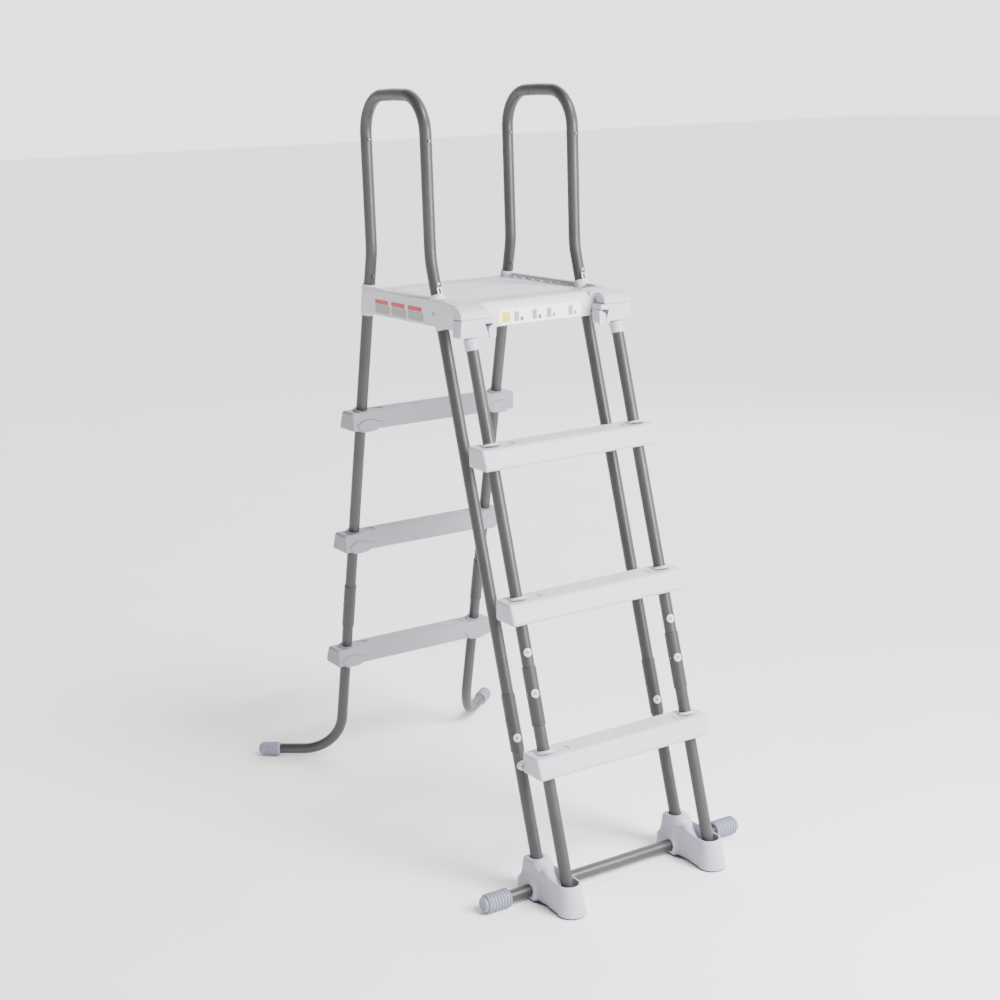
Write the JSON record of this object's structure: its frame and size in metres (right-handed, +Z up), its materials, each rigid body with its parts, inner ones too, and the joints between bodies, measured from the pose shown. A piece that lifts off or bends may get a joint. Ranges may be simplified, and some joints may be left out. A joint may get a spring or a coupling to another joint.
{
  "type": "above-ground pool ladder",
  "caption": "A-frame pool ladder with a top platform, arched handrails and an outside step ladder that lifts off.",
  "frame": {"origin": "on the floor under the middle of the ladder's bounding box", "axes": "+Z up; +X along the treads, to the right as seen from the outside; -Y to the outside, where the removable step ladder is; +Y to the pool side"},
  "size_m": [0.6814, 1.1877, 1.6189],
  "materials": {
    "tube_metal": "satin grey powder coat",
    "sleeve_metal": "satin grey powder coat",
    "platform_plastic": "fine satin moulding, pale grey-white",
    "tread_plastic": "fine satin moulding, pale grey-white",
    "rear_tread_plastic": "fine satin moulding, pale grey-white",
    "clip_plastic": "fine satin moulding",
    "latch_plastic": "satin moulding, cool grey-white",
    "foot_plastic": "satin moulding, cool light grey",
    "sole_rubber": "matt black, non-slip",
    "white_button": "smooth white",
    "button_steel": "worn satin",
    "hardware_steel": "satin"
  },
  "bodies": {
    "frame": {"bar_end_cap_left": "foot_plastic", "bar_end_cap_right": "foot_plastic", "boot_soles": "sole_rubber", "cross_bar": "tube_metal", "front_boot_left": "foot_plastic", "front_boot_right": "foot_plastic", "front_leg_sleeve_left": "sleeve_metal", "front_leg_sleeve_right": "sleeve_metal", "front_lower_leg_left": "tube_metal", "front_lower_leg_right": "tube_metal", "front_upper_tube_left": "tube_metal", "front_upper_tube_right": "tube_metal", "handrail_bow_left": "tube_metal", "handrail_bow_right": "tube_metal", "platform": "platform_plastic", "platform_screws": "hardware_steel", "rear_foot_cap_left": "foot_plastic", "rear_foot_cap_right": "foot_plastic", "rear_leg_sleeve_left": "sleeve_metal", "rear_leg_sleeve_right": "sleeve_metal", "rear_lower_leg_left": "tube_metal", "rear_lower_leg_right": "tube_metal", "rear_tread_bottom": "rear_tread_plastic", "rear_tread_clips": "clip_plastic", "rear_tread_middle": "rear_tread_plastic", "rear_tread_top": "rear_tread_plastic", "rear_upper_tube_left": "tube_metal", "rear_upper_tube_right": "tube_metal"},
    "step_ladder": {"ladder_lower_rail_left": "tube_metal", "ladder_lower_rail_right": "tube_metal", "ladder_rail_sleeve_left": "sleeve_metal", "ladder_rail_sleeve_right": "sleeve_metal", "ladder_upper_rail_left": "tube_metal", "ladder_upper_rail_right": "tube_metal", "front_tread_bottom": "tread_plastic", "front_tread_clips": "clip_plastic", "front_tread_middle": "tread_plastic", "front_tread_top": "tread_plastic", "latch_cover_left": "latch_plastic", "latch_cover_right": "latch_plastic", "latch_housing_left": "latch_plastic", "latch_housing_right": "latch_plastic", "lever_pins": "hardware_steel", "rail_collars": "latch_plastic"},
    "latch_lever_left": {"latch_lever_left": "latch_plastic"},
    "latch_lever_right": {"latch_lever_right": "latch_plastic"},
    "front_leg_button_left": {"front_leg_button_left": "button_steel"},
    "front_leg_button_right": {"front_leg_button_right": "button_steel"},
    "handrail_button_front_left": {"handrail_button_front_left": "button_steel"},
    "handrail_button_front_right": {"handrail_button_front_right": "button_steel"},
    "handrail_button_rear_left": {"handrail_button_rear_left": "button_steel"},
    "handrail_button_rear_right": {"handrail_button_rear_right": "button_steel"},
    "ladder_rail_button_left": {"ladder_rail_button_left": "button_steel"},
    "ladder_rail_button_right": {"ladder_rail_button_right": "button_steel"},
    "platform_lock_button_front_left": {"platform_lock_button_front_left": "white_button"},
    "platform_lock_button_front_right": {"platform_lock_button_front_right": "white_button"},
    "platform_lock_button_rear_left": {"platform_lock_button_rear_left": "button_steel"},
    "platform_lock_button_rear_right": {"platform_lock_button_rear_right": "button_steel"},
    "rear_leg_button_left": {"rear_leg_button_left": "button_steel"},
    "rear_leg_button_right": {"rear_leg_button_right": "button_steel"}
  },
  "joints": [
    {"name": "ladder_lift", "type": "slide", "parent": "frame", "child": "step_ladder", "axis": [0, 0, 1], "range_m": [0, 0.12]},
    {"name": "latch_release_left", "type": "hinge", "parent": "step_ladder", "child": "latch_lever_left", "pos_m": [-0.138, -0.245, 1.133], "axis": [0, 1, 0], "range_deg": [0, 15], "stiffness_Nm_per_rad": 0.5, "springref_deg": -11.46},
    {"name": "latch_release_right", "type": "hinge", "parent": "step_ladder", "child": "latch_lever_right", "pos_m": [0.138, -0.245, 1.133], "axis": [0, -1, 0], "range_deg": [0, 15], "stiffness_Nm_per_rad": 0.5, "springref_deg": -11.46},
    {"name": "front_leg_button_left_press", "type": "slide", "parent": "frame", "child": "front_leg_button_left", "axis": [1, 0, 0], "range_m": [0, 0.0035], "stiffness_N_per_m": 800, "springref_m": -0.001},
    {"name": "front_leg_button_right_press", "type": "slide", "parent": "frame", "child": "front_leg_button_right", "axis": [1, 0, 0], "range_m": [0, 0.0035], "stiffness_N_per_m": 800, "springref_m": -0.001},
    {"name": "handrail_button_front_left_press", "type": "slide", "parent": "frame", "child": "handrail_button_front_left", "axis": [0, 1, 0], "range_m": [0, 0.0035], "stiffness_N_per_m": 800, "springref_m": -0.001},
    {"name": "handrail_button_front_right_press", "type": "slide", "parent": "frame", "child": "handrail_button_front_right", "axis": [0, 1, 0], "range_m": [0, 0.0035], "stiffness_N_per_m": 800, "springref_m": -0.001},
    {"name": "handrail_button_rear_left_press", "type": "slide", "parent": "frame", "child": "handrail_button_rear_left", "axis": [0, 1, 0], "range_m": [0, 0.0035], "stiffness_N_per_m": 800, "springref_m": -0.001},
    {"name": "handrail_button_rear_right_press", "type": "slide", "parent": "frame", "child": "handrail_button_rear_right", "axis": [0, 1, 0], "range_m": [0, 0.0035], "stiffness_N_per_m": 800, "springref_m": -0.001},
    {"name": "ladder_rail_button_left_press", "type": "slide", "parent": "step_ladder", "child": "ladder_rail_button_left", "axis": [1, 0, 0], "range_m": [0, 0.0035], "stiffness_N_per_m": 800, "springref_m": -0.001},
    {"name": "ladder_rail_button_right_press", "type": "slide", "parent": "step_ladder", "child": "ladder_rail_button_right", "axis": [1, 0, 0], "range_m": [0, 0.0035], "stiffness_N_per_m": 800, "springref_m": -0.001},
    {"name": "platform_lock_button_front_left_press", "type": "slide", "parent": "frame", "child": "platform_lock_button_front_left", "axis": [0, 0.9625, -0.2714], "range_m": [0, 0.0035], "stiffness_N_per_m": 800, "springref_m": -0.001},
    {"name": "platform_lock_button_front_right_press", "type": "slide", "parent": "frame", "child": "platform_lock_button_front_right", "axis": [0, 0.9625, -0.2714], "range_m": [0, 0.0035], "stiffness_N_per_m": 800, "springref_m": -0.001},
    {"name": "platform_lock_button_rear_left_press", "type": "slide", "parent": "frame", "child": "platform_lock_button_rear_left", "axis": [0, 0.9737, 0.2278], "range_m": [0, 0.0035], "stiffness_N_per_m": 800, "springref_m": -0.001},
    {"name": "platform_lock_button_rear_right_press", "type": "slide", "parent": "frame", "child": "platform_lock_button_rear_right", "axis": [0, 0.9737, 0.2278], "range_m": [0, 0.0035], "stiffness_N_per_m": 800, "springref_m": -0.001},
    {"name": "rear_leg_button_left_press", "type": "slide", "parent": "frame", "child": "rear_leg_button_left", "axis": [1, 0, 0], "range_m": [0, 0.0035], "stiffness_N_per_m": 800, "springref_m": -0.001},
    {"name": "rear_leg_button_right_press", "type": "slide", "parent": "frame", "child": "rear_leg_button_right", "axis": [1, 0, 0], "range_m": [0, 0.0035], "stiffness_N_per_m": 800, "springref_m": -0.001}
  ]
}
